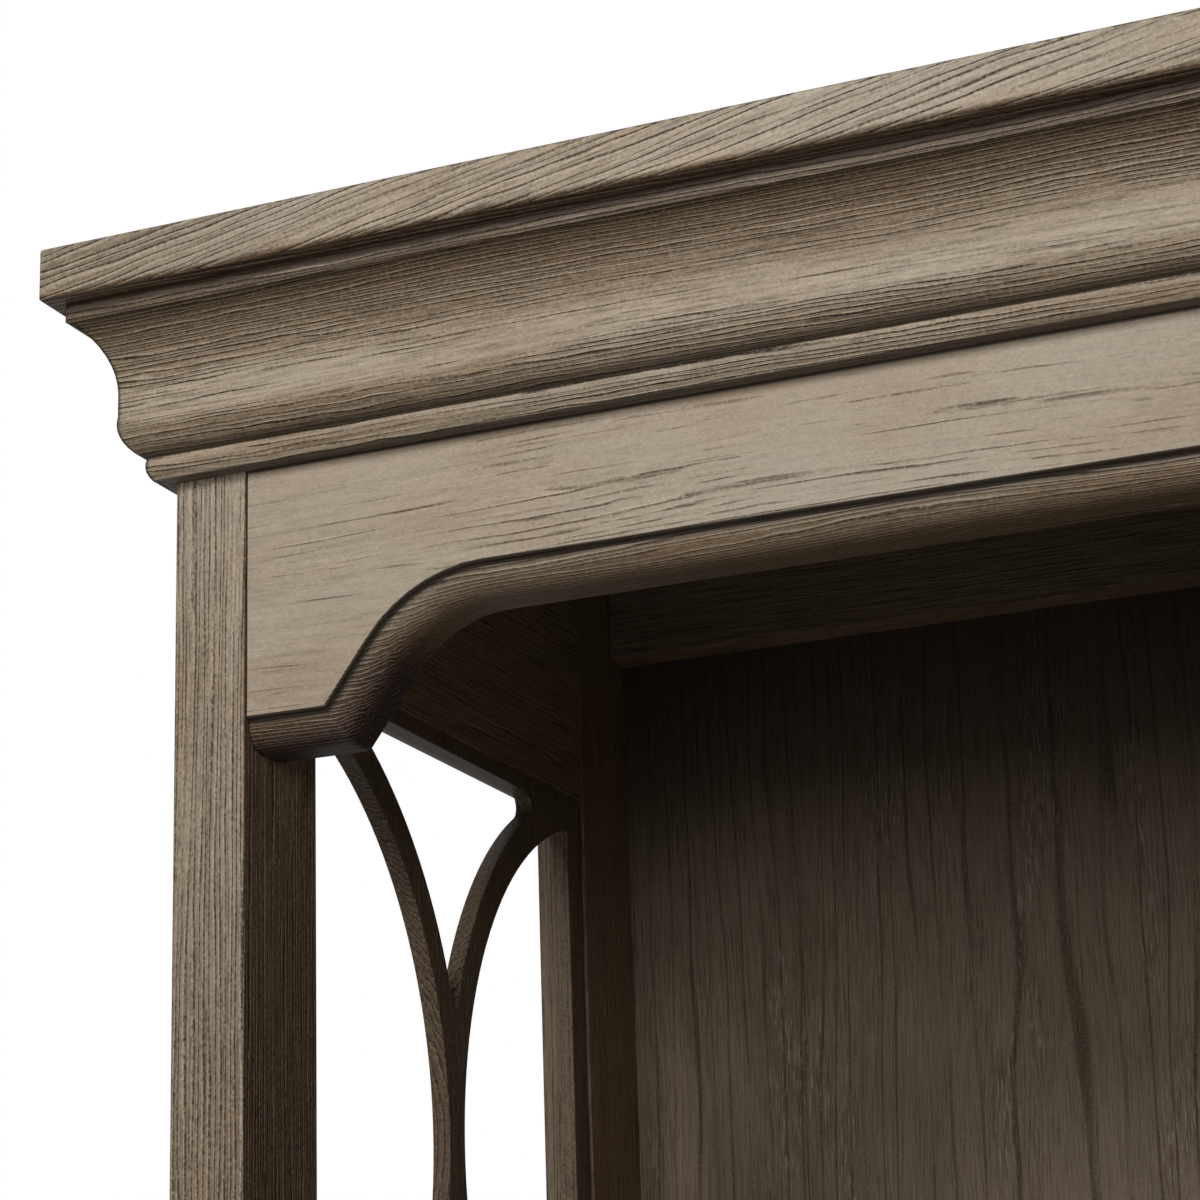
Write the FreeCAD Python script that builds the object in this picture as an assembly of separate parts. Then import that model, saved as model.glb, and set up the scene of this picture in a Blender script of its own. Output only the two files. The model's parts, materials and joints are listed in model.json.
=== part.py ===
import FreeCAD, Part
import math
import os

from FreeCAD import Vector

# Credenza with a hutch standing on it. Millimetres, +Z up.
# The origin is on the floor under the middle of the whole piece; -Y is the front, +X the right-hand end.

# Overall sizes
top_width = 1676.0
top_depth = 610.0
base_height = 762.0
hutch_setback = 25.0
hutch_depth = 381.0
hutch_height = 1092.0

# Posts and frames, used in both the hutch and the base
post_width = 28.0
front_post_depth = 54.0
rear_post_depth = 61.5
frame_thickness = 22.5
groove_depth = 6.0
panel_play = 0.2
back_thickness = 6.5
rabbet_width = 10.0

# Cornice: a square cap slab over a crown moulding
cap_thickness = 20.0
cap_overhang = 36.5
cap_arris = 1.2
crown_height = 64.0
crown_foot_width = 6.0
bead_height = 8.0
bead_width = 7.7
ovolo_height = 14.8
ovolo_width = 7.7
neck_height = 8.4
cove_radius = 33.6
fillet_height = 7.3
fillet_width = 29.3

# Apron with an ear at each post and a thumbnail edge
apron_thickness = 25.0
apron_drop = 47.3
ear_drop = 91.1
ear_width = 31.4
ear_angle = 53.0
arch_radius = 54.0
apron_step = 2.0
apron_edge_height = 10.5
apron_edge_radius = 9.5

# Ends of the hutch: framed fretwork over a low solid panel
end_rail_drop = 54.5
middle_rail_height = 45.0
low_panel_height = 153.5
bottom_rail_height = 60.0
fret_thickness = 7.5
fret_inset = 2.1
fret_stile = 13.6
fret_rail = 5.9
fret_arc_overshoot = 2.563
fret_bar_width = 14.0
fret_corner_radius = 5.6
fret_tip_radius = 2.0

# Hutch back rails, partitions and shelves
back_rail_thickness = 16.5
back_top_rail_height = 42.0
back_bottom_rail_height = 60.0
partition_thickness = 20.0
partition_setback = 5.0
shelf_thickness = 20.0
shelf_edge_radius = 3.0

# Plates and screws that join the hutch to the base
plate_width = 40.0
plate_height = 100.0
plate_thickness = 2.0
plate_spacing = 1000.0
plate_corner_radius = 6.0
screw_radius = 2.0
screw_length = 22.0
screw_head_radius = 4.0
screw_head_height = 1.8
screw_play = 0.05
screw_spacing = 22.0

# Base: top, case and plinth
top_thickness = 25.0
top_overhang = 22.0
top_edge_radius = 8.0
top_corner_radius = 10.0
case_rear_setback = 6.0
kneehole_width = 700.0
kneehole_side_thickness = 20.0
base_panel_thickness = 8.0
base_panel_inset = 6.0
end_top_rail_height = 60.0
end_bottom_rail_height = 144.0
bottom_thickness = 18.0
modesty_thickness = 18.0
modesty_height = 437.0
glide_height = 4.0
glide_radius = 9.0
plinth_height = 84.0
plinth_thickness = 12.0
plinth_lip = 4.0
plinth_round = 10.0

# Front rails and the openings between them
front_rail_height = 22.0
front_foot_rail_height = 50.0
small_opening_height = 127.0
pencil_opening_height = 90.0

# Drawers and their runners
reveal = 2.0
front_thickness = 20.0
front_edge_width = 9.0
front_edge_radius = 8.0
front_step = 1.6
box_play = 3.0
box_side_thickness = 12.0
box_bottom_thickness = 6.0
box_bottom_lift = 8.0
box_headroom = 24.0
box_rear_clearance = 85.5
pencil_rear_clearance = 144.0
pencil_box_lift = 20.0
runner_height = 18.0
runner_reach = 12.0
runner_play = 0.3
stop_length = 28.0
stop_height = 12.0

# Knobs
knob_radius = 13.0
knob_length = 26.0
knob_neck_radius = 5.5
knob_neck_length = 10.0
knob_belly_distance = 17.0
rosette_radius = 14.0
rosette_thickness = 3.0
stud_radius = 2.5
stud_length = 16.0
stud_play = 0.05
pencil_knob_spacing = 380.0

# Door and its hinges
door_stile_width = 62.0
door_sticking_radius = 5.0
door_panel_thickness = 8.0
door_panel_inset = 7.0
hinge_gap = 2.6
leaf_thickness = 1.0
leaf_depth = 15.0
hinge_length = 60.0
knuckle_length = 20.0
knuckle_radius = 3.2
knuckle_play = 0.3
hinge_pin_radius = 1.5
hinge_pin_play = 0.05
hinge_end_distance = 55.0
knuckle_clearance = 0.8
door_knob_drop = 122.0

# Loose shelf in the cabinet
loose_shelf_thickness = 18.0
loose_shelf_play = 1.5
loose_shelf_height = 230.0
shelf_pin_radius = 2.5
shelf_pin_length = 28.0
shelf_pin_depth = 10.0
shelf_pin_inset = 34.0
shelf_pin_play = 0.05

overrun = 1.0
match_tolerance = 0.0001

# Levels
hutch_top = base_height + hutch_height
cap_foot = hutch_top - cap_thickness
crown_foot = cap_foot - crown_height
end_top_rail_foot = crown_foot - end_rail_drop
foot_rail_top = base_height + bottom_rail_height
lower_rail_foot = foot_rail_top + low_panel_height
lower_rail_top = lower_rail_foot + middle_rail_height
light_height = (end_top_rail_foot - lower_rail_top - middle_rail_height) / 2
upper_rail_foot = lower_rail_top + light_height
upper_rail_top = upper_rail_foot + middle_rail_height
top_foot = base_height - top_thickness
plinth_top = glide_height + plinth_height
face_foot = plinth_top + front_rail_height
face_top = top_foot - front_rail_height

# Depths, from the front to the rear
hardware_depth = plate_thickness + screw_head_height
knob_reach = knob_length - top_overhang
top_front = -(top_depth + hardware_depth - knob_reach) / 2
top_rear = top_front + top_depth
hutch_front = top_rear - hutch_depth
hutch_post_rear = hutch_front + front_post_depth
hutch_rear_post_front = top_rear - rear_post_depth
back_face = top_rear - back_thickness
back_rail_face = back_face - back_rail_thickness
shelf_front = hutch_front + apron_thickness + partition_setback
case_front = top_front + top_overhang
case_post_rear = case_front + front_post_depth
case_rear = top_rear - case_rear_setback
case_rear_post_front = case_rear - rear_post_depth
case_back_face = case_rear - back_thickness
box_front = case_front + front_thickness
box_length = case_back_face - box_rear_clearance - box_front
pencil_box_length = case_rear - modesty_thickness - pencil_rear_clearance - box_front

# Widths, from the middle outwards
hutch_half = top_width / 2 - hutch_setback
hutch_inside = hutch_half - frame_thickness
hutch_post_inside = hutch_half - post_width
case_half = top_width / 2 - top_overhang
case_inside = case_half - frame_thickness
case_post_inside = case_half - post_width
knee_half = kneehole_width / 2
knee_post_outside = knee_half + post_width
knee_side_outside = knee_half + kneehole_side_thickness
partition_middle = knee_half + post_width / 2
partition_inside = partition_middle - partition_thickness / 2
partition_outside = partition_middle + partition_thickness / 2
fret_outer_x = -hutch_inside - fret_inset - fret_thickness
fret_inner_x = -hutch_inside - fret_inset

# A fret arc runs upright at the waist of its light and passes just outside the light's corner
fret_half_width = (hutch_rear_post_front - hutch_post_rear) / 2 - fret_stile
fret_half_height = light_height / 2 - fret_rail
fret_arc_reach = fret_half_width + fret_arc_overshoot
fret_arc_radius = (fret_arc_reach ** 2 + fret_half_height ** 2) / (2 * fret_arc_reach)

AXIS_X = Vector(1, 0, 0)
AXIS_Y = Vector(0, 1, 0)
AXIS_Z = Vector(0, 0, 1)


# Tools for building shapes

def block(x0, x1, y0, y1, z0, z1):
    return Part.makeBox(x1 - x0, y1 - y0, z1 - z0, Vector(x0, y0, z0))


def rod(radius, start, axis, length):
    return Part.makeCylinder(radius, length, start, axis)


def mirrored(shape):
    return shape.mirror(Vector(0, 0, 0), AXIS_X)


def prism(points, direction):
    return Part.Face(Part.makePolygon(points + points[:1])).extrude(direction)


def line(a, b):
    return Part.LineSegment(a, b).toShape()


def arc(a, middle, b):
    return Part.Arc(a, middle, b).toShape()


def eased(solid, radius, wanted):
    edges = [edge for edge in solid.Edges if wanted(edge)]
    return solid.makeFillet(radius, edges)


def bounds(shape):
    box = shape.BoundBox
    return box.XMin, box.XMax, box.YMin, box.YMax, box.ZMin, box.ZMax


def near(a, b):
    return abs(a - b) < match_tolerance


def write(name, solids):
    shape = solids[0] if len(solids) == 1 else Part.makeCompound(solids)
    shape.exportStep("parts/" + name + ".step")
    print(name, len(shape.Solids), "valid" if shape.isValid() else "NOT VALID", round(shape.Volume))


def write_pair(name, solids):
    write("left_" + name, solids)
    write("right_" + name, [mirrored(solid) for solid in solids])


# A moulding round three sides of a box: front run and two returns, mitred at the front corners

def mitred_moulding(profile, x0, x1, y_front, y_rear, foot, reach):
    front = profile.copy()
    front.translate(Vector(x0 - reach, y_front, foot))
    front = front.extrude(Vector(x1 - x0 + 2 * reach, 0, 0))
    side = profile.copy()
    side.rotate(Vector(0, 0, 0), AXIS_Z, -90)
    side.translate(Vector(x0, y_front - reach, foot))
    side = side.extrude(Vector(0, y_rear - y_front + reach, 0))
    low = foot - overrun
    rise = Vector(0, 0, profile.BoundBox.ZMax + 2 * overrun)
    front_zone = prism([Vector(x0 - reach, y_front - reach, low), Vector(x1 + reach, y_front - reach, low),
                        Vector(x1, y_front, low), Vector(x0, y_front, low)], rise)
    side_zone = prism([Vector(x0 - reach, y_front - reach, low), Vector(x0, y_front, low),
                       Vector(x0, y_rear, low), Vector(x0 - reach, y_rear, low)], rise)
    left = side.common(side_zone).Solids[0]
    right = left.mirror(Vector((x0 + x1) / 2, 0, 0), AXIS_X)
    return [front.common(front_zone).Solids[0], left, right]


# Hutch

def cornice_cap():
    half = hutch_half + cap_overhang
    front = hutch_front - cap_overhang
    slab = block(-half, half, front, top_rear, cap_foot, hutch_top)

    def exposed(edge):
        x0, x1, y0, y1, z0, z1 = bounds(edge)
        return near(y0, front) and near(y1, front) or near(x1, -half) or near(x0, half)

    return eased(slab, cap_arris, exposed)


def crown_profile():
    bead_top = bead_height
    ovolo_top = bead_top + ovolo_height
    neck = bead_width + ovolo_width
    cove_foot = ovolo_top + neck_height
    cove_top = crown_height - fillet_height
    cove_turn = math.asin((cove_top - cove_foot) / cove_radius)
    cove_middle = neck + cove_radius

    def at(projection, height):
        return Vector(0, -projection, height)

    def on_cove(turn):
        return at(cove_middle - cove_radius * math.cos(turn), cove_foot + cove_radius * math.sin(turn))

    half_turn = math.sin(math.pi / 4)
    bead = arc(at(crown_foot_width, 0),
               at(bead_width, bead_top * half_turn / 2),
               at(bead_width, bead_top))
    ovolo = arc(at(bead_width, bead_top),
                at(bead_width + ovolo_width * half_turn, ovolo_top - ovolo_height * half_turn),
                at(neck, ovolo_top))
    cove = arc(on_cove(0), on_cove(cove_turn / 2), on_cove(cove_turn))
    edges = [line(at(0, 0), at(crown_foot_width, 0)), bead, ovolo,
             line(at(neck, ovolo_top), on_cove(0)), cove,
             line(on_cove(cove_turn), at(fillet_width, cove_top)),
             line(at(fillet_width, cove_top), at(fillet_width, crown_height)),
             line(at(fillet_width, crown_height), at(0, crown_height)),
             line(at(0, crown_height), at(0, 0))]
    return Part.Face(Part.Wire(edges))


def crown():
    return mitred_moulding(crown_profile(), -hutch_half, hutch_half, hutch_front, top_rear,
                           crown_foot, fillet_width)


# Outline of the apron, seen from the front; inset moves the lower contour down by that much
def apron_face(inset, y):
    turn = math.radians(ear_angle)
    ear_level = crown_foot - ear_drop - inset
    straight_level = crown_foot - apron_drop - inset
    radius = arch_radius - inset
    slope_rise = ear_drop - apron_drop - arch_radius * (1 - math.cos(turn))
    slope_run = slope_rise / math.tan(turn)
    arch_x = -hutch_post_inside + ear_width + slope_run + arch_radius * math.sin(turn)
    arch_z = straight_level - radius

    def on_arch(angle):
        return Vector(arch_x - radius * math.sin(angle), y, arch_z + radius * math.cos(angle))

    slope_end = on_arch(turn)
    corner_x = slope_end.x - (slope_end.z - ear_level) / math.tan(turn)
    corner = Vector(corner_x, y, ear_level)
    end = Vector(-hutch_post_inside, y, ear_level)
    half = [line(end, corner), line(corner, slope_end), arc(slope_end, on_arch(turn / 2), on_arch(0))]
    other_half = [mirrored(edge) for edge in half]
    top_left = Vector(-hutch_post_inside, y, cap_foot)
    edges = half + other_half + [line(on_arch(0), Vector(-arch_x, y, straight_level)),
                                 line(end, top_left), line(top_left, Vector(hutch_post_inside, y, cap_foot)),
                                 line(Vector(hutch_post_inside, y, cap_foot),
                                      Vector(hutch_post_inside, y, ear_level))]
    return Part.Face(Part.Wire(Part.__sortEdges__(edges)))


def arched_apron():
    step_y = hutch_front + apron_step
    body = apron_face(apron_edge_height, step_y).extrude(Vector(0, apron_thickness - apron_step, 0))

    def lower_front(edge):
        x0, x1, y0, y1, z0, z1 = bounds(edge)
        on_front = near(y0, step_y) and near(y1, step_y)
        return on_front and z1 < crown_foot - apron_drop and x1 - x0 > overrun

    body = eased(body, apron_edge_radius, lower_front)
    field = apron_face(0, hutch_front).extrude(Vector(0, apron_step, 0))
    return body.fuse(field).removeSplitter()


def groove_box(y0, y1, z0, z1):
    return block(fret_outer_x - panel_play, fret_inner_x + panel_play,
                 y0 - groove_depth, y1 + groove_depth, z0 - groove_depth, z1 + groove_depth)


# The three openings of a hutch end, as (foot, top)
def end_openings():
    return [(upper_rail_top, end_top_rail_foot), (lower_rail_top, upper_rail_foot),
            (foot_rail_top, lower_rail_foot)]


def cut_grooves(solid):
    for foot, top in end_openings():
        solid = solid.cut(groove_box(hutch_post_rear, hutch_rear_post_front, foot, top))
    return solid


def hutch_front_post():
    post = block(-hutch_half, -hutch_post_inside, hutch_front, hutch_post_rear, base_height, cap_foot)
    return cut_grooves(post)


def hutch_rear_post():
    post = block(-hutch_half, -hutch_inside, hutch_rear_post_front, top_rear, base_height, cap_foot)
    rabbet = block(-hutch_inside - rabbet_width, -hutch_inside + overrun,
                   back_face, top_rear + overrun, base_height - overrun, cap_foot + overrun)
    return cut_grooves(post).cut(rabbet)


def hutch_end_rails():
    levels = [(end_top_rail_foot, cap_foot), (upper_rail_foot, upper_rail_top),
              (lower_rail_foot, lower_rail_top), (base_height, foot_rail_top)]
    rails = []
    for foot, top in levels:
        rail = block(-hutch_half, -hutch_inside, hutch_post_rear, hutch_rear_post_front, foot, top)
        rails.append(cut_grooves(rail))
    return rails


def framed_sheet(foot, top):
    edge = groove_depth - panel_play
    return block(fret_outer_x, fret_inner_x, hutch_post_rear - edge, hutch_rear_post_front + edge,
                 foot - edge, top + edge)


# One light of fretwork: two arcs that spring from the corners and share one bar's width at the waist
def fret_panel(foot, top):
    middle_y = (hutch_post_rear + hutch_rear_post_front) / 2
    middle_z = (foot + top) / 2
    front = middle_y - fret_half_width
    rear = middle_y + fret_half_width
    low = middle_z - fret_half_height
    high = middle_z + fret_half_height
    outer = fret_arc_radius + fret_bar_width / 2
    inner = fret_arc_radius - fret_bar_width / 2
    x0 = fret_outer_x - overrun
    through = fret_thickness + 2 * overrun

    def disc(radius, side):
        return rod(radius, Vector(x0, middle_y + side * fret_arc_radius, middle_z), AXIS_X, through)

    def through_box(y0, y1, z0, z1):
        return block(x0, x0 + through, y0, y1, z0, z1)

    def runs_through(edge):
        x_low, x_high, y_low, y_high, z_low, z_high = bounds(edge)
        return near(y_low, y_high) and near(z_low, z_high)

    def at_edge(edge):
        return runs_through(edge) and near(edge.BoundBox.ZMax, high)

    def at_tip(edge):
        return runs_through(edge) and not near(edge.BoundBox.ZMax, high)

    crown_hole = through_box(front, rear, middle_z, high)
    crown_hole = crown_hole.cut(disc(outer, -1)).cut(disc(outer, 1)).Solids[0]
    crown_hole = eased(eased(crown_hole, fret_corner_radius, at_edge), fret_tip_radius, at_tip)
    foot_hole = crown_hole.mirror(Vector(0, 0, middle_z), AXIS_Z)
    side_hole = through_box(front, middle_y, low, high)
    side_hole = side_hole.common(disc(inner, -1)).Solids[0]
    side_hole = eased(side_hole, fret_tip_radius, runs_through)
    other_hole = side_hole.mirror(Vector(0, middle_y, 0), AXIS_Y)
    sheet = framed_sheet(foot, top)
    for hole in (crown_hole, foot_hole, side_hole, other_hole):
        sheet = sheet.cut(hole)
    return sheet


def plate_places():
    return [-plate_spacing / 2, plate_spacing / 2]


# Screw positions on the plates: two in the hutch's bottom rail and two in the base top
def screw_places():
    levels = [base_height + back_bottom_rail_height / 2, base_height - top_thickness / 2]
    return [Vector(x + side * screw_spacing / 2, top_rear, level)
            for x in plate_places() for side in (-1, 1) for level in levels]


def cut_screw_holes(solid):
    for place in screw_places():
        start = place + Vector(0, plate_thickness + overrun, 0)
        length = screw_length + plate_thickness + overrun
        solid = solid.cut(rod(screw_radius + screw_play, start, -AXIS_Y, length))
    return solid


def hutch_back_panel():
    half = hutch_inside + rabbet_width - panel_play
    return cut_screw_holes(block(-half, half, back_face, top_rear, base_height, cap_foot))


def hutch_back_rails():
    top = block(-hutch_inside, hutch_inside, back_rail_face, back_face,
                cap_foot - back_top_rail_height, cap_foot)
    foot = block(-hutch_inside, hutch_inside, back_rail_face, back_face,
                 base_height, base_height + back_bottom_rail_height)
    return [top, cut_screw_holes(foot)]


def partition():
    board = block(-partition_outside, -partition_inside, shelf_front, back_face, base_height, cap_foot)
    for rail in hutch_back_rails():
        board = board.cut(rail)
    return board


def shelf(x0, x1, rail_foot, rail_top):
    foot = (rail_foot + rail_top - shelf_thickness) / 2
    board = block(x0, x1, shelf_front, back_face, foot, foot + shelf_thickness)

    def front_arris(edge):
        low_x, high_x, y0, y1, z0, z1 = bounds(edge)
        return near(y0, shelf_front) and near(y1, shelf_front) and high_x - low_x > overrun

    board = eased(board, shelf_edge_radius, front_arris)
    notch = block(-hutch_half, -hutch_post_inside, hutch_front, hutch_post_rear, base_height, cap_foot)
    return board.cut(notch)


def side_shelves():
    return [shelf(-hutch_inside, -partition_outside, upper_rail_foot, upper_rail_top),
            shelf(-hutch_inside, -partition_outside, lower_rail_foot, lower_rail_top)]


def joining_plate(x):
    plate_foot = base_height - top_thickness
    plate = block(x - plate_width / 2, x + plate_width / 2, top_rear, top_rear + plate_thickness,
                  plate_foot, plate_foot + plate_height)

    def corner(edge):
        x0, x1, y0, y1, z0, z1 = bounds(edge)
        return y1 - y0 > plate_thickness / 2

    return cut_screw_holes(eased(plate, plate_corner_radius, corner))


def joining_screw(place):
    face = place + Vector(0, plate_thickness, 0)
    shank = rod(screw_radius, face, -AXIS_Y, screw_length)
    head = rod(screw_head_radius, face, AXIS_Y, screw_head_height)
    return shank.fuse(head)


# Base

def base_top():
    front = top_front
    half = top_width / 2
    slab = block(-half, half, front, top_rear, top_foot, base_height)

    def corner(edge):
        x0, x1, y0, y1, z0, z1 = bounds(edge)
        return near(y1, front) and z1 - z0 > top_thickness / 2

    def upper_arris(edge):
        x0, x1, y0, y1, z0, z1 = bounds(edge)
        on_top = near(z0, base_height) and near(z1, base_height)
        return on_top and not (near(y0, top_rear) and near(y1, top_rear))

    return cut_screw_holes(eased(eased(slab, top_corner_radius, corner), top_edge_radius, upper_arris))


def base_panel_groove(foot, top):
    x0 = -case_half + base_panel_inset - panel_play
    return block(x0, x0 + base_panel_thickness + 2 * panel_play,
                 case_post_rear - groove_depth, case_rear_post_front + groove_depth,
                 foot - groove_depth, top + groove_depth)


def end_panel_levels():
    return glide_height + end_bottom_rail_height, top_foot - end_top_rail_height


def pedestal_posts():
    groove = base_panel_groove(*end_panel_levels())
    outer = block(-case_half, -case_post_inside, case_front, case_post_rear, glide_height, top_foot)
    inner = block(-knee_post_outside, -knee_half, case_front, case_post_rear, glide_height, top_foot)
    rear = block(-case_half, -case_inside, case_rear_post_front, case_rear, glide_height, top_foot)
    return [outer.cut(groove), inner, rear.cut(groove).cut(pedestal_back())]


def base_end_rails():
    panel_foot, panel_top = end_panel_levels()
    groove = base_panel_groove(panel_foot, panel_top)
    rails = []
    for foot, top in [(glide_height, panel_foot), (panel_top, top_foot)]:
        rail = block(-case_half, -case_inside, case_post_rear, case_rear_post_front, foot, top)
        rails.append(rail.cut(groove))
    return rails


def base_end_panel():
    foot, top = end_panel_levels()
    edge = groove_depth - panel_play
    x0 = -case_half + base_panel_inset
    return block(x0, x0 + base_panel_thickness, case_post_rear - edge, case_rear_post_front + edge,
                 foot - edge, top + edge)


def pedestal_back():
    return block(-case_inside - rabbet_width, -knee_side_outside + rabbet_width, case_back_face, case_rear,
                 glide_height, top_foot)


def kneehole_side():
    board = block(-knee_side_outside, -knee_half, case_post_rear, case_rear, glide_height, top_foot)
    return board.cut(pedestal_back())


def front_rail(x0, x1, foot, height):
    return block(x0, x1, case_front, case_post_rear, foot, foot + height)


def upper_opening_foot():
    return face_top - small_opening_height


def second_opening_foot():
    return upper_opening_foot() - front_rail_height - small_opening_height


# Four rails at the left, three at the right, where the door is, and one over the kneehole
def front_rails():
    spans = [(face_top, front_rail_height), (upper_opening_foot() - front_rail_height, front_rail_height),
             (face_foot - front_foot_rail_height, front_foot_rail_height),
             (second_opening_foot() - front_rail_height, front_rail_height)]
    left = [front_rail(-case_post_inside, -knee_post_outside, foot, height) for foot, height in spans]
    middle = front_rail(-knee_half, knee_half, face_top, front_rail_height)
    return left + [mirrored(rail) for rail in left[:3]] + [middle]


def pedestal_bottom():
    top = face_foot - runner_height
    return block(-case_inside, -knee_side_outside, case_post_rear, case_back_face,
                 top - bottom_thickness, top)


def modesty_panel():
    return block(-knee_half, knee_half, case_rear - modesty_thickness, case_rear,
                 top_foot - modesty_height, top_foot)


def plinth_profile():
    shoulder = plinth_height - plinth_round
    reach = plinth_thickness - plinth_lip
    half_turn = math.sin(math.pi / 4)

    def at(projection, height):
        return Vector(0, -projection, height)

    edges = [line(at(0, 0), at(plinth_thickness, 0)),
             line(at(plinth_thickness, 0), at(plinth_thickness, shoulder)),
             arc(at(plinth_thickness, shoulder),
                 at(plinth_thickness - reach * (1 - half_turn), shoulder + plinth_round * half_turn),
                 at(plinth_lip, plinth_height)),
             line(at(plinth_lip, plinth_height), at(0, plinth_height)),
             line(at(0, plinth_height), at(0, 0))]
    return Part.Face(Part.Wire(edges))


def plinth():
    return mitred_moulding(plinth_profile(), -case_half, -knee_half, case_front, case_rear,
                           glide_height, plinth_thickness)


def glides():
    outer_x = -case_half + frame_thickness / 2
    inner_x = -knee_half - kneehole_side_thickness / 2
    front_y = case_front + front_post_depth / 2
    rear_y = case_rear - rear_post_depth / 2
    return [rod(glide_radius, Vector(x, y, 0), AXIS_Z, glide_height)
            for x in (outer_x, inner_x) for y in (front_y, rear_y)]


# Wooden runners: one under each side of a drawer, from the post to the back

def pedestal_runners(opening_foot):
    foot = opening_foot - runner_height
    outer = block(-case_inside, -case_post_inside + runner_reach, case_post_rear, case_back_face,
                  foot, opening_foot)
    inner = block(-knee_post_outside - runner_reach, -knee_side_outside, case_post_rear, case_back_face,
                  foot, opening_foot)
    return [outer, inner]


def pencil_box_foot():
    return face_top - pencil_opening_height + pencil_box_lift


def pencil_runner():
    top = pencil_box_foot()
    return block(-knee_half, -knee_half + runner_height, case_post_rear,
                 box_front + pencil_box_length + runner_play + stop_length, top - runner_height, top)


def drawer_runners():
    left = pedestal_runners(upper_opening_foot()) + pedestal_runners(second_opening_foot())
    left += pedestal_runners(face_foot) + [pencil_runner()]
    right = [mirrored(bar) for bar in pedestal_runners(upper_opening_foot()) + [pencil_runner()]]
    return left + right


# A block on the rear of a runner, which stops the drawer when its front is flush
def stop_on_runner(runner, box_rear):
    low_x, high_x, y0, y1, z0, z1 = bounds(runner)
    start = box_rear + runner_play
    return block(low_x, high_x, start, start + stop_length, z1, z1 + stop_height)


# The door's stop, under the rail above it
def door_stop():
    top = upper_opening_foot() - front_rail_height
    return block(knee_post_outside, knee_post_outside + stop_length,
                 box_front + runner_play, case_post_rear, top - stop_height, top)


def stop_blocks():
    box_rear = box_front + box_length
    upper = [stop_on_runner(bar, box_rear) for bar in pedestal_runners(upper_opening_foot())]
    upper.append(stop_on_runner(pencil_runner(), box_front + pencil_box_length))
    left_only = pedestal_runners(second_opening_foot()) + pedestal_runners(face_foot)
    left = upper + [stop_on_runner(bar, box_rear) for bar in left_only]
    return left + [mirrored(stop) for stop in upper] + [door_stop()]


# Drawers. An opening is (x0, x1, foot, top); knobs is a list of (x, z)

def left_opening(foot, height):
    return -case_post_inside, -knee_post_outside, foot, foot + height


def right_opening(foot, height):
    return knee_post_outside, case_post_inside, foot, foot + height


def opening_middle(opening):
    x0, x1, foot, top = opening
    return (x0 + x1) / 2, (foot + top) / 2


def stud_hole(x, z):
    return rod(stud_radius + stud_play, Vector(x, case_front - overrun, z), AXIS_Y,
               stud_length + overrun)


# A board with a raised flat field and a rounded edge below it, as on the apron
def front_board(x0, x1, z0, z1):
    step_y = case_front + front_step
    board = block(x0, x1, step_y, case_front + front_thickness, z0, z1)

    def face_arris(edge):
        low_x, high_x, y0, y1, low_z, high_z = bounds(edge)
        return near(y0, step_y) and near(y1, step_y)

    board = eased(board, front_edge_radius, face_arris)
    w = front_edge_width
    return board.fuse(block(x0 + w, x1 - w, case_front, step_y, z0 + w, z1 - w)).removeSplitter()


def drawer_front(opening, knobs):
    x0, x1, foot, top = opening
    board = front_board(x0 + reveal, x1 - reveal, foot + reveal, top - reveal)
    for x, z in knobs:
        board = board.cut(stud_hole(x, z))
    return board


def drawer_box(opening, box_foot, length):
    x0, x1, foot, top = opening
    left = x0 + box_play
    right = x1 - box_play
    y0 = box_front
    y1 = y0 + length
    z0 = box_foot + runner_play
    z1 = top - box_headroom
    t = box_side_thickness
    sides = [block(left, left + t, y0, y1, z0, z1), block(right - t, right, y0, y1, z0, z1)]
    ends = [block(left + t, right - t, y0, y0 + t, z0, z1), block(left + t, right - t, y1 - t, y1, z0, z1)]
    bottom_foot = z0 + box_bottom_lift
    bottom = block(left + t, right - t, y0 + t, y1 - t, bottom_foot, bottom_foot + box_bottom_thickness)
    return sides + ends + [bottom]


# A mushroom knob with a rosette and a stud: quarter-round under the head, a low dome over it
def knob(x, z):
    half_turn = math.sin(math.pi / 4)
    dome_rise = knob_length - knob_belly_distance
    dome_radius = (knob_radius ** 2 + dome_rise ** 2) / (2 * dome_rise)
    dome_half_turn = math.asin(knob_radius / dome_radius) / 2

    def at(radius, distance):
        return Vector(x + radius, case_front - distance, z)

    edges = [line(at(0, -stud_length), at(stud_radius, -stud_length)),
             line(at(stud_radius, -stud_length), at(stud_radius, 0)),
             line(at(stud_radius, 0), at(rosette_radius, 0)),
             line(at(rosette_radius, 0), at(rosette_radius, rosette_thickness)),
             line(at(rosette_radius, rosette_thickness), at(knob_neck_radius, rosette_thickness)),
             line(at(knob_neck_radius, rosette_thickness), at(knob_neck_radius, knob_neck_length)),
             arc(at(knob_neck_radius, knob_neck_length),
                 at(knob_neck_radius + (knob_radius - knob_neck_radius) * half_turn,
                    knob_belly_distance - (knob_belly_distance - knob_neck_length) * half_turn),
                 at(knob_radius, knob_belly_distance)),
             arc(at(knob_radius, knob_belly_distance),
                 at(dome_radius * math.sin(dome_half_turn),
                    knob_length - dome_radius * (1 - math.cos(dome_half_turn))),
                 at(0, knob_length)),
             line(at(0, knob_length), at(0, -stud_length))]
    face = Part.Face(Part.Wire(edges))
    return face.revolve(Vector(x, case_front, z), AXIS_Y, 360)


def write_drawer(name, opening, box_foot, length, knobs):
    write(name + "_front", [drawer_front(opening, knobs)])
    write(name + "_box", drawer_box(opening, box_foot, length))
    write(name + "_knobs", [knob(x, z) for x, z in knobs])


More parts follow.
